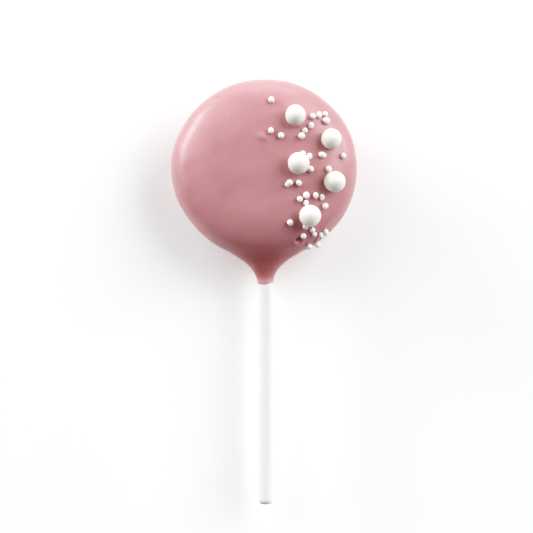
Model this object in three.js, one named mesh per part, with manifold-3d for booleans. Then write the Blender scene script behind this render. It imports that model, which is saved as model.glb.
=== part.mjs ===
// A cake pop of the flat, lollipop kind: a thick disc of cake in pink glaze on a paper stick, with five sugar
// pearls on its right side. It lies on its back: the face with the pearls points up (+Z), the stick runs
// towards -Y, and the origin is the middle of the small flat spot that it rests on.
// Millimetres throughout.

import * as THREE from "three";
import { mergeVertices } from "three/addons/utils/BufferGeometryUtils.js";
import Module from "manifold-3d";

// The glazed head, seen from above.
const HEAD_HALF_WIDTH = 24.1;
const HEAD_CROWN = 23.2; // from the widest place up to the crown, a little less than the half-width
const SHOULDER_FLATTENING = 0.6; // how far the lower curve stays inside the half-width's circle
const NECK_START_ANGLE = Math.PI * (5 / 6); // from the crown round to where the shoulder turns into the neck
const NECK_BEND_Y = -25.0; // where the shoulder's and the neck's tangents meet
const NECK_END_Y = -29.5;
const BULGE_SHIFT = -0.28; // the widest part bulges a little more to the left
const HEAD_SHIFT = -0.14; // the head isn't quite centred on its stick
const BULGE_LENGTH = 17;

// The glazed head, seen from the side: a thick disc with a round rim.
const HEAD_HALF_HEIGHT = 10.6;
const FOOT_FLAT = 0.15; // how much the resting side is flattened
const RIM_POWER = 3; // 2 makes an ellipse, more makes flatter faces with a fuller rim
const NECK_FALL_POWER = 2.0; // how fast the faces fall to the neck as the head narrows
const NECK_ROUND_FROM_Y = -24;
const NECK_ROUND_TO_Y = -29.5;

// The paper stick.
const STICK_RADIUS = 2.0;
const STICK_LENGTH = 89;
const STICK_END_Y = -87.1;
const STICK_END_ROUNDING = 1.2;
const STICK_END_DOME = 0.12;

// Fits.
const FIT_GAP = 0.3;
const LIP_WALL = 0.35; // glaze round the stick at the end of the neck
const LIP_WAVE = 0.45; // the glaze's edge on the stick runs a little further on the left side
const NECK_END_RADIUS = STICK_RADIUS + FIT_GAP + LIP_WALL;
const AXIS_HEIGHT = HEAD_HALF_HEIGHT - FOOT_FLAT; // of the stick's axis and of the head's rim

// The sugar pearls: the place of each one's centre from above, its diameter, and how oval it is.
const PEARL_SINK = 0.5;
const PEARLS = [
  { x: 7.6, y: 12.95, diameter: 5.2, oval: 1.04 },
  { x: 16.7, y: 7.1, diameter: 5.2, oval: 1.0 },
  { x: 8.4, y: 0.75, diameter: 5.55, oval: 1.01 },
  { x: 17.6, y: -3.85, diameter: 5.45, oval: 1.0 },
  { x: 11.3, y: -12.5, diameter: 5.55, oval: 1.02 },
];

// How finely the round shapes are divided.
const CROWN_STEPS = 12;
const SHOULDER_STEPS = 12;
const NECK_STEPS = 9;
const SECTION_STEPS = 48;
const STICK_SIDES = 24;
const STICK_END_STEPS = 4;
const PEARL_DETAIL = 3;

// How the pearls' seats on the face are found.
const SEAT_ROUNDS = 20;
const SLOPE_STEP = 0.5;

const wasm = await Module();
wasm.setup();

const glaze = new THREE.MeshStandardMaterial({
  name: "glaze",
  color: 0xcb9499,
  roughness: 0.35,
  metalness: 0,
});
const sugar = new THREE.MeshStandardMaterial({
  name: "sugar",
  color: 0xf4f2ee,
  roughness: 0.45,
  metalness: 0,
});
const paper = new THREE.MeshStandardMaterial({
  name: "paper",
  color: 0xf2f1ef,
  roughness: 0.8,
  metalness: 0,
});

// Turns a closed geometry into a solid that can be cut and joined.
function solidOf(geometry) {
  const bare = geometry.clone();
  bare.deleteAttribute("normal");
  bare.deleteAttribute("uv");
  const merged = mergeVertices(bare, 1e-5);
  return new wasm.Manifold(
    new wasm.Mesh({
      numProp: 3,
      vertProperties: new Float32Array(merged.attributes.position.array),
      triVerts: new Uint32Array(merged.index.array),
    }),
  );
}

function geometryOf(solid) {
  const { vertProperties, triVerts } = solid.getMesh();
  const geometry = new THREE.BufferGeometry();
  geometry.setAttribute("position", new THREE.BufferAttribute(vertProperties, 3));
  geometry.setIndex(new THREE.BufferAttribute(triVerts, 1));
  geometry.computeVertexNormals();
  return geometry;
}

function addPiece(parent, name, geometry, material) {
  const piece = new THREE.Mesh(geometry, material);
  piece.name = name;
  parent.add(piece);
  return piece;
}

// A face of the disc: 1 over its middle and 0 at its rim, for a distance from the middle of 0 to 1.
function faceHeight(distance) {
  return (1 - Math.min(distance, 1) ** RIM_POWER) ** (1 / RIM_POWER);
}

// A point of the rim's curve at an angle from its outer end, with both axes scaled to 1.
function rimPoint(angle) {
  const across = Math.abs(Math.cos(angle));
  const up = Math.abs(Math.sin(angle));
  const reach = (across ** RIM_POWER + up ** RIM_POWER) ** (-1 / RIM_POWER);
  return { out: reach * across, up: reach * up };
}

// The head's middle line as seen from above, measured from the stick's axis.
function headShift(y) {
  const bulge = Math.cos((Math.PI / 2) * Math.min(Math.abs(y) / BULGE_LENGTH, 1)) ** 2;
  return HEAD_SHIFT + BULGE_SHIFT * bulge;
}

// How far the disc's flat section has turned into the neck's round one, from 0 to 1.
function neckness(y) {
  return THREE.MathUtils.smoothstep(-y, -NECK_ROUND_FROM_Y, -NECK_ROUND_TO_Y);
}

// Half the head's height over the stick's axis at a station: the disc's, or the fall to the neck.
function halfHeight({ y, halfWidth }) {
  if (y >= 0) {
    return HEAD_HALF_HEIGHT * faceHeight(y / HEAD_CROWN);
  }
  const width = (halfWidth - NECK_END_RADIUS) / (HEAD_HALF_WIDTH - NECK_END_RADIUS);
  const rise = 1 - Math.max(0, 1 - width) ** NECK_FALL_POWER;
  return THREE.MathUtils.lerp(NECK_END_RADIUS, HEAD_HALF_HEIGHT, rise);
}

// The head's outline from the crown to the end of the neck, as places along Y with the half-width there.
function headStations() {
  const stations = [];
  for (let i = 1; i < CROWN_STEPS; i += 1) {
    const { out } = rimPoint(((Math.PI / 2) * i) / CROWN_STEPS);
    stations.push({ y: HEAD_CROWN * out, halfWidth: HEAD_HALF_WIDTH * Math.sqrt(1 - out ** 2) });
  }
  for (let i = 0; i <= SHOULDER_STEPS; i += 1) {
    const share = i / SHOULDER_STEPS;
    const angle = Math.PI / 2 + share * (NECK_START_ANGLE - Math.PI / 2);
    const radius = HEAD_HALF_WIDTH - SHOULDER_FLATTENING * Math.sin((Math.PI / 2) * share) ** 2;
    stations.push({ y: radius * Math.cos(angle), halfWidth: radius * Math.sin(angle) });
  }
  const shoulderEnd = stations.at(-1);
  const neck = new THREE.QuadraticBezierCurve(
    new THREE.Vector2(shoulderEnd.halfWidth, shoulderEnd.y),
    new THREE.Vector2(NECK_END_RADIUS, NECK_BEND_Y),
    new THREE.Vector2(NECK_END_RADIUS, NECK_END_Y),
  );
  for (const { x, y } of neck.getPoints(NECK_STEPS).slice(1)) {
    stations.push({ y, halfWidth: x });
  }
  return stations;
}

const STATIONS = headStations();

// The section's height over the axis at a share of the half-width: the disc's faces, or the round neck.
function sectionHeight(station, share) {
  const start = Math.sqrt(Math.max(0, 1 - (station.halfWidth / HEAD_HALF_WIDTH) ** 2));
  const distance = Math.sqrt(start ** 2 + (1 - start ** 2) * share ** 2);
  const disc = faceHeight(distance) / faceHeight(start);
  const round = Math.sqrt(1 - share ** 2);
  return halfHeight(station) * THREE.MathUtils.lerp(disc, round, neckness(station.y));
}

// The head's skin: a ring of points for each station, closed at the crown and at the end of the neck.
function headSkin() {
  const points = [headShift(HEAD_CROWN), HEAD_CROWN, AXIS_HEIGHT];
  for (const station of STATIONS) {
    for (let j = 0; j < SECTION_STEPS; j += 1) {
      const angle = (2 * Math.PI * j) / SECTION_STEPS;
      const share = Math.min(rimPoint(angle).out, 1) * Math.sign(Math.cos(angle));
      const height = sectionHeight(station, share) * Math.sign(Math.sin(angle));
      const lip = station === STATIONS.at(-1) ? LIP_WAVE * ((1 - share) / 2) : 0;
      points.push(
        headShift(station.y) + share * station.halfWidth,
        station.y - lip,
        AXIS_HEIGHT + height,
      );
    }
  }
  points.push(headShift(NECK_END_Y), NECK_END_Y, AXIS_HEIGHT);

  const corners = [];
  const corner = (ring, j) => 1 + ring * SECTION_STEPS + (j % SECTION_STEPS);
  const lastRing = STATIONS.length - 1;
  const neckEnd = points.length / 3 - 1;
  for (let j = 0; j < SECTION_STEPS; j += 1) {
    corners.push(0, corner(0, j + 1), corner(0, j));
    corners.push(neckEnd, corner(lastRing, j), corner(lastRing, j + 1));
    for (let ring = 0; ring < lastRing; ring += 1) {
      corners.push(corner(ring, j), corner(ring + 1, j + 1), corner(ring + 1, j));
      corners.push(corner(ring, j), corner(ring, j + 1), corner(ring + 1, j + 1));
    }
  }
  const skin = new THREE.BufferGeometry();
  skin.setAttribute("position", new THREE.Float32BufferAttribute(points, 3));
  skin.setIndex(corners);
  return skin;
}

// The upper face's height over the floor at a place on it, from the two stations beside that place.
function faceAt(x, y) {
  const next = STATIONS.findIndex((station) => station.y <= y);
  const [before, after] = [STATIONS[next - 1], STATIONS[next]];
  const share = (before.y - y) / (before.y - after.y);
  const halfWidth = THREE.MathUtils.lerp(before.halfWidth, after.halfWidth, share);
  return AXIS_HEIGHT + sectionHeight({ y, halfWidth }, (x - headShift(y)) / halfWidth);
}

// The centre of a pearl that is sunk a little in the face, along the face's own normal. The place where
// that normal leaves the face is found in rounds, each from the slopes at the last place.
function pearlCentre({ x, y, diameter }) {
  const reach = diameter / 2 - PEARL_SINK;
  const foot = new THREE.Vector2(x, y);
  const normal = new THREE.Vector3();
  for (let round = 0; round < SEAT_ROUNDS; round += 1) {
    const riseX = faceAt(foot.x + SLOPE_STEP, foot.y) - faceAt(foot.x - SLOPE_STEP, foot.y);
    const riseY = faceAt(foot.x, foot.y + SLOPE_STEP) - faceAt(foot.x, foot.y - SLOPE_STEP);
    normal.set(-riseX, -riseY, 2 * SLOPE_STEP).normalize();
    foot.set(x - reach * normal.x, y - reach * normal.y);
  }
  return new THREE.Vector3(x, y, faceAt(foot.x, foot.y) + reach * normal.z);
}

// A ball whose length along Y is its diameter times the oval share.
function pearlGeometry({ diameter, oval }, extraRadius) {
  const ball = new THREE.IcosahedronGeometry(diameter / 2 + extraRadius, PEARL_DETAIL);
  return ball.scale(1, oval, 1);
}

function headGeometry() {
  let head = solidOf(headSkin());
  const side = 4 * HEAD_HALF_WIDTH;
  const below = new THREE.BoxGeometry(side, side, side).translate(0, 0, -side / 2);
  head = head.subtract(solidOf(below));
  const boreRadius = STICK_RADIUS + FIT_GAP;
  const boreTip = STICK_END_Y + STICK_LENGTH + FIT_GAP;
  const boreMouth = NECK_END_Y - 2 * LIP_WAVE;
  const bore = new THREE.CylinderGeometry(boreRadius, boreRadius, boreTip - boreMouth, STICK_SIDES);
  bore.translate(0, (boreTip + boreMouth) / 2, AXIS_HEIGHT);
  head = head.subtract(solidOf(bore));
  for (const pearl of PEARLS) {
    const seat = pearlGeometry(pearl, FIT_GAP).translate(...pearlCentre(pearl));
    head = head.subtract(solidOf(seat));
  }
  return geometryOf(head);
}

// A rolled paper stick with rounded, slightly domed ends, turned about its own axis.
function stickGeometry() {
  const flatRadius = STICK_RADIUS - STICK_END_ROUNDING;
  const corner = (centreY, from) =>
    Array.from({ length: STICK_END_STEPS + 1 }, (_, i) => {
      const angle = from + ((Math.PI / 2) * i) / STICK_END_STEPS;
      return new THREE.Vector2(
        flatRadius + STICK_END_ROUNDING * Math.cos(angle),
        centreY + STICK_END_ROUNDING * Math.sin(angle),
      );
    });
  const profile = [
    new THREE.Vector2(0, -STICK_END_DOME),
    ...corner(STICK_END_ROUNDING, -Math.PI / 2),
    ...corner(STICK_LENGTH - STICK_END_ROUNDING, 0),
    new THREE.Vector2(0, STICK_LENGTH + STICK_END_DOME),
  ];
  return new THREE.LatheGeometry(profile, STICK_SIDES);
}

const cakePop = new THREE.Group();

addPiece(cakePop, "glazed_head", headGeometry(), glaze);

const stick = addPiece(cakePop, "stick", stickGeometry(), paper);
stick.position.set(0, STICK_END_Y, AXIS_HEIGHT);

PEARLS.forEach((pearl, i) => {
  const piece = addPiece(cakePop, `pearl_${i + 1}`, pearlGeometry(pearl, 0), sugar);
  piece.position.copy(pearlCentre(pearl));
});

export default cakePop;
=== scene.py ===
# The looks of a cake pop: a thick disc of cake in pink glaze on a paper stick, with sugar pearls and small
# sugar balls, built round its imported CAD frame. It lies on its back on a white floor, seen from above.
# Lengths are in millimetres until a mesh is made, and in metres in Blender.

import math

import bmesh
import bpy
import numpy as np
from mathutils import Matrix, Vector


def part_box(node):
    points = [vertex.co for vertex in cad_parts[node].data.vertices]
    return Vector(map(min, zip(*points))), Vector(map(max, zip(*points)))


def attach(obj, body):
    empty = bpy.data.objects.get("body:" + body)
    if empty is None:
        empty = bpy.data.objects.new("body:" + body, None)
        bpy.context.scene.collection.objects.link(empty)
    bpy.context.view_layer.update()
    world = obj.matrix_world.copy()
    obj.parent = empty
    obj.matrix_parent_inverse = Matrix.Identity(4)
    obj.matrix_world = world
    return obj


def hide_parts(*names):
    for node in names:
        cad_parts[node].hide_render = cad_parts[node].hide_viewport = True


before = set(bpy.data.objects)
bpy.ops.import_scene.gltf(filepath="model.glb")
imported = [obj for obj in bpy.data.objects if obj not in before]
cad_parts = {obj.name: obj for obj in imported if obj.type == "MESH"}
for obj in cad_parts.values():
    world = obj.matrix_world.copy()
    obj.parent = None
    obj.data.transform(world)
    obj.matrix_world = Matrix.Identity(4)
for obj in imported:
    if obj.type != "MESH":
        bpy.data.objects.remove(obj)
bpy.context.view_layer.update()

MM = 0.001


def box_mm(node):
    low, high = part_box(node)
    return np.array(low) / MM, np.array(high) / MM


# The frame's own sizes.
HEAD_LOW, HEAD_HIGH = box_mm("glazed_head")
STICK_LOW, STICK_HIGH = box_mm("stick")
PEARLS = sorted(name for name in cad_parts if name.startswith("pearl_"))
STICK_RADIUS = (STICK_HIGH[0] - STICK_LOW[0]) / 2
AXIS_HEIGHT = (STICK_LOW[2] + STICK_HIGH[2]) / 2
HALF_WIDTH = (HEAD_HIGH[0] - HEAD_LOW[0]) / 2
HALF_HEIGHT = HEAD_HIGH[2] - AXIS_HEIGHT
CROWN_Y = HEAD_HIGH[1]
WIDEST_SHIFT = (HEAD_HIGH[0] + HEAD_LOW[0]) / 2

# The head's form, as in the CAD model, with the thin end that real glaze has on the stick.
RIM_POWER = 3  # of the rim's curve: 2 would make an ellipse of it, and more makes it fuller
SHOULDER_FLATTENING = 0.6  # how much less than round the outline is where the neck starts
NECK_START_ANGLE = math.radians(150)
NECK_BEND_Y = -25.0
NECK_END_Y = -29.5
NECK_FALL_POWER = 2.0  # of the fall from the head's height to the neck's
NECK_ROUND_FROM_Y = -24
NECK_ROUND_TO_Y = -29.5
NECK_END_RADIUS = STICK_RADIUS + 0.07
HEAD_SHIFT = -0.14  # of the head from the stick's axis, apart from the bulge at its widest part
BULGE_SHIFT = WIDEST_SHIFT - HEAD_SHIFT
BULGE_LENGTH = 17
LIP_LENGTH = 3  # the last stretch of the neck, where the glaze's edge is uneven
LIP_WAVE = 0.45
LIP_DRIP = 0.25

# How finely the head is divided, along it and round it.
CROWN_RINGS = 90
SHOULDER_RINGS = 95
NECK_RINGS = 50
FACE_STEPS = 230
BACK_STEPS = 90


def smoothstep(value, low, high):
    share = np.clip((value - low) / (high - low), 0, 1)
    return share * share * (3 - 2 * share)


def face_height(distance):
    return (1 - np.minimum(distance, 1) ** RIM_POWER) ** (1 / RIM_POWER)


def rim_out(angle):
    """How far out the rim's curve is at an angle from its outer end, with both axes scaled to 1."""
    across = np.abs(np.cos(angle))
    up = np.abs(np.sin(angle))
    return across * (across**RIM_POWER + up**RIM_POWER) ** (-1 / RIM_POWER)


def head_shift(y):
    bulge = np.cos(np.pi / 2 * np.minimum(np.abs(y) / BULGE_LENGTH, 1)) ** 2
    return HEAD_SHIFT + BULGE_SHIFT * bulge


def half_height(y, half_width):
    """Half the head's height at y, where the outline is that wide."""
    crown = HALF_HEIGHT * face_height(np.maximum(y, 0) / CROWN_Y)
    width = (half_width - NECK_END_RADIUS) / (HALF_WIDTH - NECK_END_RADIUS)
    rise = 1 - np.maximum(0, 1 - width) ** NECK_FALL_POWER
    return np.where(y >= 0, crown, NECK_END_RADIUS + rise * (HALF_HEIGHT - NECK_END_RADIUS))


def head_stations():
    """Places along Y, from the crown to the end of the neck, and the half-width at each."""
    out = rim_out(np.pi / 2 * np.arange(1, CROWN_RINGS) / CROWN_RINGS)
    crown = np.stack([CROWN_Y * out, HALF_WIDTH * np.sqrt(1 - out**2)])
    share = np.linspace(0, 1, SHOULDER_RINGS + 1)
    angles = np.pi / 2 + share * (NECK_START_ANGLE - np.pi / 2)
    radius = HALF_WIDTH - SHOULDER_FLATTENING * np.sin(np.pi / 2 * share) ** 2
    shoulder = np.stack([radius * np.cos(angles), radius * np.sin(angles)])
    t = np.arange(1, NECK_RINGS + 1) / NECK_RINGS
    start, bend, end = (1 - t) ** 2, 2 * t * (1 - t), t**2
    neck = np.stack([
        start * shoulder[0, -1] + bend * NECK_BEND_Y + end * NECK_END_Y,
        start * shoulder[1, -1] + (bend + end) * NECK_END_RADIUS,
    ])
    return np.concatenate([crown, shoulder, neck], axis=1)


def section_height(y, half_width, share):
    """How far the face is above the stick's axis, at a share of the way from the middle to the outline."""
    start = np.sqrt(np.maximum(0, 1 - (half_width / HALF_WIDTH) ** 2))
    distance = np.sqrt(start**2 + (1 - start**2) * share**2)
    disc = face_height(distance) / face_height(start)
    ellipse = np.sqrt(np.maximum(0, 1 - share**2))
    blend = smoothstep(-y, -NECK_ROUND_FROM_Y, -NECK_ROUND_TO_Y)
    return half_height(y, half_width) * (disc * (1 - blend) + ellipse * blend)


def head_points():
    """The smooth head: a ring of points for each station, from the right rim round over the face."""
    ys, widths = head_stations()
    face_angles = np.pi * np.arange(FACE_STEPS) / FACE_STEPS
    back_angles = np.pi + np.pi * np.arange(BACK_STEPS) / BACK_STEPS
    y, angle = np.meshgrid(ys, np.concatenate([face_angles, back_angles]), indexing="ij")
    width = np.broadcast_to(widths[:, None], y.shape)
    share = np.minimum(rim_out(angle), 1) * np.sign(np.cos(angle))
    height = section_height(y, width, share) * np.sign(np.sin(angle))
    lip = smoothstep(-y, -NECK_END_Y - LIP_LENGTH, -NECK_END_Y)
    x = head_shift(y) * (1 - lip) + share * width
    edge = LIP_WAVE * (1 - share) / 2 + LIP_DRIP * np.exp(-((share * 2) ** 2)) * np.sin(angle)
    return np.stack([x, y - lip * edge, AXIS_HEIGHT + height], axis=-1)


def grid_normals(points):
    along_ring = np.roll(points, -1, axis=1) - np.roll(points, 1, axis=1)
    normals = np.cross(along_ring, np.gradient(points, axis=0))
    return normals / np.maximum(np.linalg.norm(normals, axis=-1, keepdims=True), 1e-9)


# The sugar balls beside each pearl: how far right and up from the pearl's centre, the width, and for oval
# ones the length and how far the length leans to the left in degrees.
BALLS = {
    "pearl_1": [
        (-6.1, 4.1, 1.55, 1.7),
        (-6.2, -3.85, 1.5, 1.7),
        (-3.65, -5.1, 1.6),
        (4.45, -0.05, 1.6),
        (6.1, 0.35, 1.45, 1.7, -10),
        (7.7, 0.65, 1.35),
        (7.9, -1.1, 1.75, 2.0, 75),
        (3.95, -2.45, 1.5, 1.7, -10),
        (2.4, -3.7, 1.4),
        (1.55, -5.1, 1.75),
    ],
    "pearl_2": [(-2.25, -4.1, 1.55, 2.05, 72), (3.15, -4.2, 1.4, 1.55)],
    "pearl_3": [
        (2.8, 1.9, 1.45, 1.65, 10),
        (3.05, -1.4, 1.65),
        (2.3, -1.9, 0.45),
        (-2.25, -4.85, 1.6, 1.7, -60),
        (-2.85, -5.35, 1.3),
        (0.1, -4.95, 1.5, 1.6, 30),
    ],
    "pearl_4": [(-1.55, 3.3, 1.6)],
    "pearl_5": [
        (-0.95, 5.25, 1.7, 1.85),
        (-2.6, 4.3, 1.55),
        (-1.05, 3.35, 1.5),
        (1.5, 5.25, 1.5, 1.7),
        (3.1, 4.75, 1.3, 1.7, -8),
        (3.9, 2.55, 1.6),
        (-5.0, -1.7, 1.6),
        (-1.15, -2.75, 1.45),
        (0.7, -3.55, 1.4),
        (1.25, -4.6, 1.25),
        (-1.6, -5.1, 1.45),
        (2.9, -4.95, 1.3, 1.75),
        (3.45, -5.3, 0.95),
        (4.15, -4.1, 1.45, 1.9, 15),
        (2.05, -7.2, 1.7),
        (-0.05, -7.8, 1.45, 1.6, -10),
    ],
}
BALL_SINK = 0.12  # how deep they sit in the glaze
FACE_MARGIN = 0.2  # how far above the stick's axis the face begins, for what sits on it
# One ball sits on a pearl's shoulder: its width, the way to it from the pearl's centre, and how deep it
# sits.
SHOULDER_PEARL = "pearl_3"
SHOULDER_BALL = 1.5
SHOULDER_WAY = np.array([1.1, 2.5, 1.1])
SHOULDER_SINK = 0.75


def pearl_ball(name):
    """A pearl's centre and its half-widths along X, Y and Z."""
    low, high = box_mm(name)
    return (low + high) / 2, (high - low) / 2


def seat_on(points, normals, x, y, reach):
    """The centre of a ball that reaches that far over the face, at x and y."""
    centres = points + reach * normals
    off = (centres[..., 0] - x) ** 2 + (centres[..., 1] - y) ** 2
    off = np.where(points[..., 2] > AXIS_HEIGHT + FACE_MARGIN, off, np.inf)
    nearest = np.unravel_index(np.argmin(off), off.shape)
    centre, normal = centres[nearest], normals[nearest]
    across = np.array([x, y]) - centre[:2]
    return centre + np.append(across, -across @ normal[:2] / normal[2])


def place_balls(points, normals):
    """Each ball's centre, width, length and lean."""
    balls = []
    for pearl, rows in BALLS.items():
        middle, _ = pearl_ball(pearl)
        for right, up, width, *oval in rows:
            length, lean = (oval + [0])[:2] if oval else (width, 0)
            reach = width / 2 - BALL_SINK
            centre = seat_on(points, normals, middle[0] + right, middle[1] + up, reach)
            balls.append((centre, width, length, lean))
    middle, half = pearl_ball(SHOULDER_PEARL)
    way = SHOULDER_WAY / np.linalg.norm(SHOULDER_WAY)
    reach = half[0] + SHOULDER_BALL / 2 - SHOULDER_SINK
    balls.append((middle + way * reach, SHOULDER_BALL, SHOULDER_BALL, 0))
    return balls


# The glaze's relief: lengths and heights of its soft waves, how many there are of each length, and how much
# their wave numbers vary.
WAVES = ((11.0, 0.035), (5.0, 0.014), (1.7, 0.0025))
WAVES_EACH = 7
WAVE_VARIATION = (0.75, 1.3)
WAVE_SEED = 7
# Where the glaze climbs round what sits in it. It climbs less round what is smaller than the full radius.
FILLET_WIDTH = 0.4
FILLET_HEIGHT = 0.16
FILLET_FULL_RADIUS = 2
# Marks in the face. For each: the pearl that it is placed from, how far right and up from there, its
# radius, its height, how much longer it is than wide, and how far its length leans to the left in degrees.
MARKS = {
    "soft_fold": ("pearl_1", -8.5, -5.4, 0.85, 0.3, 1.5, 155),
    "short_crease": ("pearl_1", -20.0, 5.2, 0.35, -0.6, 1.8, 135),
    "tiny_speck": ("pearl_1", -16.4, 0.1, 0.25, 0.12, 1, 0),
}
# One more mark is a round hollow. In place of a height it has its depth and its raised edge's height.
HOLLOW = ("pearl_5", -2.9, -6.15, 1.05, 0.65, 0.12, 1.25, 25)
HOLLOW_EDGE_WIDTH = 0.3  # as a share of its radius
HOLLOW_BOTTOM = 0.62  # how far its bottom reaches, as a share of its radius
HOLLOW_STEEPNESS = 4
MARKS_RISE = 2  # how far above the stick's axis the marks reach their full height
PLAIN_END = 0.2  # the neck's last bit, which has no relief


def waves(points, rng):
    """Smooth unevenness: a sum of plane waves in random directions, for each length."""
    height = np.zeros(points.shape[:-1])
    for length, size in WAVES:
        for _ in range(WAVES_EACH):
            way = rng.normal(size=3)
            way *= 2 * np.pi / (length * np.linalg.norm(way)) * rng.uniform(*WAVE_VARIATION)
            height += size / 2 * np.sin(points @ way + rng.uniform(0, 2 * np.pi))
    return height


def mark_distances(points, pearl, right, up, stretch, turn):
    """How far the points are along and across from the middle of a mark, which may be stretched."""
    middle, _ = pearl_ball(pearl)
    a = math.radians(turn)
    x = points[..., 0] - (middle[0] + right)
    y = points[..., 1] - (middle[1] + up)
    return (x * math.cos(a) + y * math.sin(a)) / stretch, -x * math.sin(a) + y * math.cos(a)


def bump(points, pearl, right, up, radius, height, stretch, turn):
    along, across = mark_distances(points, pearl, right, up, stretch, turn)
    return height * np.exp(-(along**2 + across**2) / radius**2)


def hollow(points, pearl, right, up, radius, depth, edge, stretch, turn):
    along, across = mark_distances(points, pearl, right, up, stretch, turn)
    distance = np.hypot(along, across) / radius
    raised = np.exp(-(((distance - 1) / HOLLOW_EDGE_WIDTH) ** 2))
    return edge * raised - depth * np.exp(-((distance / HOLLOW_BOTTOM) ** HOLLOW_STEEPNESS))


def relief(points, balls):
    """How far the glaze stands out from the smooth head, at each point."""
    height = waves(points, np.random.default_rng(WAVE_SEED))
    face = hollow(points, *HOLLOW)
    for mark in MARKS.values():
        face += bump(points, *mark)
    height += face * smoothstep(points[..., 2], AXIS_HEIGHT, AXIS_HEIGHT + MARKS_RISE)
    solids = [(centre, width / 2) for centre, width, _, _ in balls]
    for name in PEARLS:
        centre, half = pearl_ball(name)
        solids.append((centre, half[0]))
    for centre, radius in solids:
        gap = np.linalg.norm(points - centre, axis=-1) - radius
        share = min(1, radius / FILLET_FULL_RADIUS)
        climb = np.clip(1 - np.maximum(gap, 0) / (FILLET_WIDTH * share), 0, 1) ** 2
        height += FILLET_HEIGHT * share * climb
    return height * smoothstep(points[..., 1], NECK_END_Y + PLAIN_END, NECK_END_Y + LIP_LENGTH)


def mesh_piece(name, points, faces, material):
    """A smooth piece that rides on the part's one body, from points in millimetres."""
    mesh = bpy.data.meshes.new(name)
    mesh.from_pydata((np.asarray(points) * MM).tolist(), [], faces)
    mesh.validate()
    mesh.shade_smooth()
    piece = bpy.data.objects.new(name, mesh)
    bpy.context.scene.collection.objects.link(piece)
    mesh.materials.append(material)
    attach(piece, "root")
    return piece


def ring_faces(rings, steps):
    """The faces between rings of points and of a fan at each end, whose middles come after the rings."""
    faces = []
    last = (rings - 1) * steps
    for j in range(steps):
        k = (j + 1) % steps
        faces.append((rings * steps, k, j))
        faces.append((rings * steps + 1, last + j, last + k))
        for ring in range(0, last, steps):
            faces.append((ring + j, ring + k, ring + steps + k, ring + steps + j))
    return faces


def make_head(points, normals, balls, material):
    points = points + normals * relief(points, balls)[..., None]
    points[..., 2] = np.maximum(points[..., 2], 0)  # nothing is below the floor
    rings, steps, _ = points.shape
    ends = [(head_shift(CROWN_Y), CROWN_Y, AXIS_HEIGHT), (0, NECK_END_Y, AXIS_HEIGHT)]
    corners = np.vstack([points.reshape(-1, 3), ends])
    piece = mesh_piece("glazed_head_looks", corners, ring_faces(rings, steps), material)
    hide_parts("glazed_head")


# How finely the sugar balls are divided, how far from round they are, and the waves that make them so.
PEARL_DETAIL = 5
PEARL_UNEVENNESS = 0.006
PEARL_SEED = 3
BALL_DETAIL = 3
BALL_UNEVENNESS = 0.03
BALL_SEED = 11
BALL_WAVES = 6
BALL_WAVE_NUMBERS = (1.5, 4)


def uneven_ball(rng, detail, unevenness):
    """A unit ball that isn't quite round: its points and faces."""
    work = bmesh.new()
    bmesh.ops.create_icosphere(work, subdivisions=detail, radius=1)
    points = np.array([vertex.co for vertex in work.verts])
    faces = [tuple(vertex.index for vertex in face.verts) for face in work.faces]
    work.free()
    swell = np.zeros(len(points))
    for _ in range(BALL_WAVES):
        way = rng.normal(size=3)
        way *= rng.uniform(*BALL_WAVE_NUMBERS) / np.linalg.norm(way)
        swell += unevenness / 2 * np.sin(points @ way + rng.uniform(0, 2 * np.pi))
    return points * (1 + swell)[:, None], faces


def make_pearls(material):
    rng = np.random.default_rng(PEARL_SEED)
    for name in PEARLS:
        centre, half = pearl_ball(name)
        points, faces = uneven_ball(rng, PEARL_DETAIL, PEARL_UNEVENNESS)
        piece = mesh_piece(name + "_looks", points * half + centre, faces, material)
        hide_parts(name)


def make_balls(balls, material):
    """All the small balls, as one piece."""
    rng = np.random.default_rng(BALL_SEED)
    points, faces = [], []
    count = 0
    for centre, width, length, lean in balls:
        ball, ball_faces = uneven_ball(rng, BALL_DETAIL, BALL_UNEVENNESS)
        ball *= (width / 2, length / 2, width / 2)
        a = math.radians(lean)
        turn = np.array([[math.cos(a), math.sin(a), 0], [-math.sin(a), math.cos(a), 0], [0, 0, 1]])
        points.append(ball @ turn + centre)
        faces += [tuple(count + i for i in face) for face in ball_faces]
        count += len(ball)
    mesh_piece("sugar_balls", np.vstack(points), faces, material)


# The rolled paper stick: its rounded, slightly domed ends, how finely it is divided, and the paper's seam.
STICK_END_ROUNDING = 1.2
STICK_END_DOME = 0.12
STICK_STEPS = 144
STICK_RINGS = 180
END_RINGS = 14
SEAM_ANGLE = math.radians(25)  # from the right side upwards
SEAM_DEPTH = 0.05
SEAM_WIDTH = math.radians(4)


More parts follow.
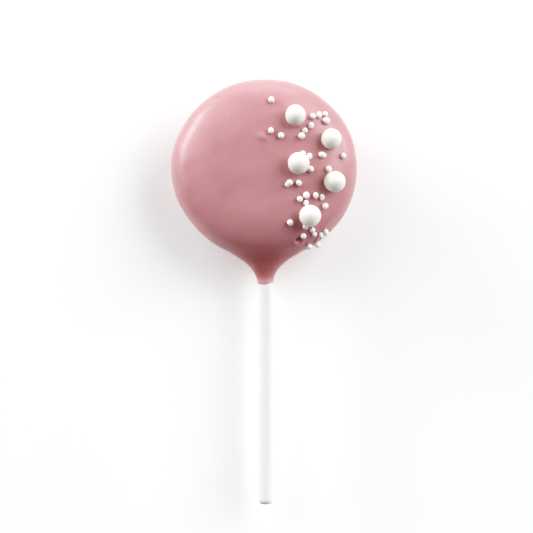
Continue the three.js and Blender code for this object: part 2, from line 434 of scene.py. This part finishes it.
def make_stick(material):
    low_y, high_y = STICK_LOW[1] + STICK_END_DOME, STICK_HIGH[1] - STICK_END_DOME
    turn = np.pi / 2 * np.arange(1, END_RINGS + 1) / END_RINGS
    core = STICK_RADIUS - STICK_END_ROUNDING
    top_y = high_y - STICK_END_ROUNDING * (1 - np.cos(turn))
    top_radius = core + STICK_END_ROUNDING * np.sin(turn)
    side_y = np.linspace(high_y - STICK_END_ROUNDING, low_y + STICK_END_ROUNDING, STICK_RINGS)[1:-1]
    ys = np.concatenate([top_y, side_y, (low_y + high_y) - top_y[::-1]])
    radii = np.concatenate([top_radius, np.full(len(side_y), STICK_RADIUS), top_radius[::-1]])
    angles = 2 * np.pi * np.arange(STICK_STEPS) / STICK_STEPS
    y, angle = np.meshgrid(ys, angles, indexing="ij")
    behind = np.mod(angle - SEAM_ANGLE, 2 * np.pi)
    groove = np.exp(-((np.minimum(behind, 2 * np.pi - behind) / SEAM_WIDTH) ** 2))
    radius = radii[:, None] * (1 - SEAM_DEPTH / STICK_RADIUS * groove)
    points = np.stack([radius * np.cos(angle), y, AXIS_HEIGHT + radius * np.sin(angle)], axis=-1)
    ends = [(0, STICK_HIGH[1], AXIS_HEIGHT), (0, STICK_LOW[1], AXIS_HEIGHT)]
    corners = np.vstack([points.reshape(-1, 3), ends])
    piece = mesh_piece("stick_looks", corners, ring_faces(len(ys), STICK_STEPS), material)
    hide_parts("stick")


# The surfaces. For each: its darker and its lighter tone, between which values of the noise the one turns
# into the other, and how large and how detailed the blotches are; its roughness from the smoothest spots to
# the roughest, and how large and detailed those are; how large and detailed its grain is, and how deep; and
# its index of refraction. Sizes are in millimetres.
GLAZE = {
    "tones": ((0.452, 0.246, 0.261), (0.482, 0.266, 0.283)),
    "tone_range": (0.35, 0.65),
    "blotches": (9, 4),
    "roughness": (0.31, 0.39),
    "rough_spots": (2.5, 3),
    "grain": (0.6, 2),
    "grain_depth": 0.026,
    "ior": 1.5,
}
PEARL_SUGAR = {
    "tones": ((0.812, 0.777, 0.722), (0.847, 0.817, 0.767)),
    "tone_range": (0.35, 0.65),
    "blotches": (1.5, 4),
    "roughness": (0.38, 0.5),
    "rough_spots": (0.6, 3),
    "grain": (0.35, 3),
    "grain_depth": 0.006,
    "ior": 1.5,
}
BALL_SUGAR = {**PEARL_SUGAR, "tones": ((0.90, 0.885, 0.86), (0.93, 0.92, 0.905))}
PAPER = {
    "tones": ((0.835, 0.83, 0.815), (0.86, 0.855, 0.845)),
    "tone_range": (0.3, 0.7),
    "blotches": (1.6, 5),
    "roughness": (0.55, 0.7),
    "rough_spots": (0.8, 4),
    "grain": (0.25, 4),
    "grain_depth": 0.004,
    "ior": 1.45,
}
PAPER_STRETCH = 0.35  # less than 1 draws the paper's pattern out along the stick
NOISE_LOW = 0.3  # nearly all of a noise texture's values lie between these two
NOISE_HIGH = 0.7
# How the glaze's colour changes towards the stick: from where, to where, and the colour there. Above the
# neck it is darker, partly from glaze that has run together there and partly as painted shade for the
# shading that falls there, away from the lights; at its thin edge it is lighter.
NECK_TONES_AND_SHADE = (
    (-17.5, -23.5, (0.395, 0.155, 0.155)),
    (-23.5, -25.5, (0.43, 0.193, 0.193)),
    (-27.6, -29.3, (0.56, 0.335, 0.33)),
)
# A faint red glow is painted on the glaze: painted light that stands in for light which scatters inside the
# glaze and comes out again in its shadows, mostly red.
PAINTED_GLOW_COLOUR = (1, 0.1, 0.1)
PAINTED_GLOW_LEVEL = 0.045


def new_material(name):
    material = bpy.data.materials.new(name)
    material.use_nodes = True
    tree = material.node_tree
    return material, tree.nodes, tree.links, tree.nodes["Principled BSDF"]


def noise_of(nodes, links, vector, size, detail):
    """A noise texture whose blotches are about that large."""
    noise = nodes.new("ShaderNodeTexNoise")
    noise.inputs["Scale"].default_value = 1 / (size * MM)
    noise.inputs["Detail"].default_value = detail
    links.new(vector, noise.inputs["Vector"])
    return noise.outputs["Fac"]


def tones_of(nodes, links, place, surface):
    """The surface's blotches of two tones."""
    ramp = nodes.new("ShaderNodeValToRGB")
    stops = zip(ramp.color_ramp.elements, surface["tone_range"], surface["tones"])
    for element, position, colour in stops:
        element.position = position
        element.color = (*colour, 1)
    links.new(noise_of(nodes, links, place, *surface["blotches"]), ramp.inputs["Fac"])
    return ramp.outputs["Color"]


def range_of(nodes, links, factor, low, high, start=NOISE_LOW, end=NOISE_HIGH):
    """A value that goes smoothly from low to high while the factor goes from start to end."""
    spread = nodes.new("ShaderNodeMapRange")
    spread.interpolation_type = "SMOOTHSTEP"
    spread.inputs["From Min"].default_value = start
    spread.inputs["From Max"].default_value = end
    spread.inputs["To Min"].default_value = low
    spread.inputs["To Max"].default_value = high
    links.new(factor, spread.inputs["Value"])
    return spread.outputs["Result"]


def mixed(nodes, links, factor, first, second):
    """Another node's colour where the factor is 0, and a plain colour where it is 1."""
    mix = nodes.new("ShaderNodeMix")
    mix.data_type = "RGBA"
    links.new(factor, mix.inputs["Factor"])
    sockets = {socket.identifier: socket for socket in mix.inputs}
    links.new(first, sockets["A_Color"])
    sockets["B_Color"].default_value = (*second, 1)
    return next(socket for socket in mix.outputs if socket.identifier == "Result_Color")


def bump_of(nodes, links, height, depth):
    node = nodes.new("ShaderNodeBump")
    node.inputs["Strength"].default_value = 1
    node.inputs["Distance"].default_value = depth * MM
    links.new(height, node.inputs["Height"])
    return node.outputs["Normal"]


def finish_surface(nodes, links, shader, place, colour, surface):
    """The surface's colour, roughness, grain and gloss on its shader."""
    links.new(colour, shader.inputs["Base Color"])
    spots = noise_of(nodes, links, place, *surface["rough_spots"])
    links.new(range_of(nodes, links, spots, *surface["roughness"]), shader.inputs["Roughness"])
    grain = noise_of(nodes, links, place, *surface["grain"])
    links.new(bump_of(nodes, links, grain, surface["grain_depth"]), shader.inputs["Normal"])
    shader.inputs["IOR"].default_value = surface["ior"]


def glaze_material():
    material, nodes, links, shader = new_material("pink_glaze")
    place = nodes.new("ShaderNodeTexCoord").outputs["Object"]
    colour = tones_of(nodes, links, place, GLAZE)
    parts = nodes.new("ShaderNodeSeparateXYZ")
    links.new(place, parts.inputs["Vector"])
    # Darker above the neck, partly run-together glaze and partly painted shade, then lighter at the thin
    # edge.
    for from_y, to_y, there in NECK_TONES_AND_SHADE:
        reached = range_of(nodes, links, parts.outputs["Y"], 1, 0, to_y * MM, from_y * MM)
        colour = mixed(nodes, links, reached, colour, there)
    finish_surface(nodes, links, shader, place, colour, GLAZE)
    # The glaze's painted red glow, which lightens and reddens its shadows.
    shader.inputs["Emission Color"].default_value = (*PAINTED_GLOW_COLOUR, 1)
    shader.inputs["Emission Strength"].default_value = PAINTED_GLOW_LEVEL
    return material


def sugar_material(name, surface):
    material, nodes, links, shader = new_material(name)
    place = nodes.new("ShaderNodeTexCoord").outputs["Object"]
    colour = tones_of(nodes, links, place, surface)
    finish_surface(nodes, links, shader, place, colour, surface)
    return material


def paper_material():
    material, nodes, links, shader = new_material("rolled_paper")
    stretch = nodes.new("ShaderNodeMapping")
    stretch.inputs["Scale"].default_value = (1, PAPER_STRETCH, 1)
    links.new(nodes.new("ShaderNodeTexCoord").outputs["Object"], stretch.inputs["Vector"])
    place = stretch.outputs["Vector"]
    colour = tones_of(nodes, links, place, PAPER)
    finish_surface(nodes, links, shader, place, colour, PAPER)
    return material


# The stage, in metres. The floor is very slightly cool, against the pink that the glaze throws on it, and
# it glows a little, which stands for an overexposed background.
FLOOR_HALF_SIDE = 1.5
FLOOR_COLOUR = (0.888, 0.9, 0.9)
FLOOR_ROUGHNESS = 0.9
FLOOR_GLOW = 0.175


def make_floor():
    mesh = bpy.data.meshes.new("floor")
    side = FLOOR_HALF_SIDE
    corners = [(-side, -side, 0), (side, -side, 0), (side, side, 0), (-side, side, 0)]
    mesh.from_pydata(corners, [], [(0, 1, 2, 3)])
    floor = bpy.data.objects.new("floor", mesh)
    bpy.context.scene.collection.objects.link(floor)
    material, _, _, shader = new_material("pale_floor")
    shader.inputs["Base Color"].default_value = (*FLOOR_COLOUR, 1)
    shader.inputs["Roughness"].default_value = FLOOR_ROUGHNESS
    shader.inputs["Specular IOR Level"].default_value = 0
    shader.inputs["Emission Color"].default_value = (1, 1, 1, 1)
    shader.inputs["Emission Strength"].default_value = FLOOR_GLOW
    mesh.materials.append(material)


WORLD_LEVEL = 0.035  # a faint even light from all round
# The softboxes all face the head from the same distance. For each: azimuth from +X towards +Y and elevation
# in degrees, how wide and high it looks from the head in degrees, and how bright it makes a white floor.
LIGHT_DISTANCE = 1.6
SOFTBOXES = {
    "right_key": (36, 39, 40, 38, 0.48),
    "right_fill": (-8, 46, 40, 28, 0.115),
    "right_low": (19, 9, 14, 8, 0.032),
    "back_low": (88, 12, 44, 16, 0.055),
    "left_high": (142, 45, 36, 32, 0.19),
    "left_edge": (146, 12, 32, 14, 0.145),
    "left_side": (172, 16, 28, 20, 0.055),
}


def softbox(name, azimuth, elevation, wide, high, level):
    light = bpy.data.lights.new(name, "AREA")
    light.shape = "RECTANGLE"
    light.size = 2 * LIGHT_DISTANCE * math.tan(math.radians(wide) / 2)
    light.size_y = 2 * LIGHT_DISTANCE * math.tan(math.radians(high) / 2)
    lamp = bpy.data.objects.new(name, light)
    a, e = math.radians(azimuth), math.radians(elevation)
    light.energy = level * math.pi**2 * LIGHT_DISTANCE**2 / math.sin(e)
    out = Vector((math.cos(a) * math.cos(e), math.sin(a) * math.cos(e), math.sin(e)))
    lamp.location = out * LIGHT_DISTANCE
    lamp.rotation_euler = out.to_track_quat("Z", "Y").to_euler()
    bpy.context.scene.collection.objects.link(lamp)


def make_lights():
    for name, settings in SOFTBOXES.items():
        softbox(name, *settings)
    world = bpy.data.worlds.new("studio")
    world.use_nodes = True
    background = world.node_tree.nodes["Background"]
    background.inputs["Color"].default_value = (1, 1, 1, 1)
    background.inputs["Strength"].default_value = WORLD_LEVEL
    bpy.context.scene.world = world


# The view's width at the stick's height, and the place in its middle, both in millimetres. The camera's
# lens and sensor in millimetres, and how near and how far it sees, in metres.
VIEW_WIDTH = 138.6
VIEW_CENTRE = (0.26, -25.35)
LENS = 115
SENSOR = 36
NEAREST = 0.01
FARTHEST = 10


def make_camera():
    """The camera looks straight down on the cake pop."""
    camera = bpy.data.cameras.new("camera")
    camera.lens = LENS
    camera.sensor_width = SENSOR
    camera.clip_start = NEAREST
    camera.clip_end = FARTHEST
    rig = bpy.data.objects.new("camera", camera)
    distance = LENS / SENSOR * VIEW_WIDTH
    rig.location = (VIEW_CENTRE[0] * MM, VIEW_CENTRE[1] * MM, (AXIS_HEIGHT + distance) * MM)
    bpy.context.scene.collection.objects.link(rig)
    bpy.context.scene.camera = rig


# The picture's tones: a curve with more contrast below and a soft roll-off to white.
TONE_POWER = 1.5
TONE_KNEE = 0.6
TONE_STEPS = 12
TONE_SPACING = 1.5  # above 1, the curve's points crowd towards black
COMBINED_CURVE = 3  # after those for red, green and blue


def set_tones():
    settings = bpy.context.scene.view_settings
    settings.view_transform = "Standard"
    settings.use_curve_mapping = True
    curve = settings.curve_mapping.curves[COMBINED_CURVE]
    for step in range(1, TONE_STEPS):
        level = (step / TONE_STEPS) ** TONE_SPACING
        powered = level**TONE_POWER
        curve.points.new(level, (1 + TONE_KNEE) * powered / (powered + TONE_KNEE))
    settings.curve_mapping.update()


glaze, paper = glaze_material(), paper_material()
pearl_sugar = sugar_material("pearl_sugar", PEARL_SUGAR)
ball_sugar = sugar_material("ball_sugar", BALL_SUGAR)
head = head_points()
head_normals = grid_normals(head)
small_balls = place_balls(head, head_normals)
make_head(head, head_normals, small_balls, glaze)
make_pearls(pearl_sugar)
make_balls(small_balls, ball_sugar)
make_stick(paper)
make_floor()
make_lights()
make_camera()
set_tones()
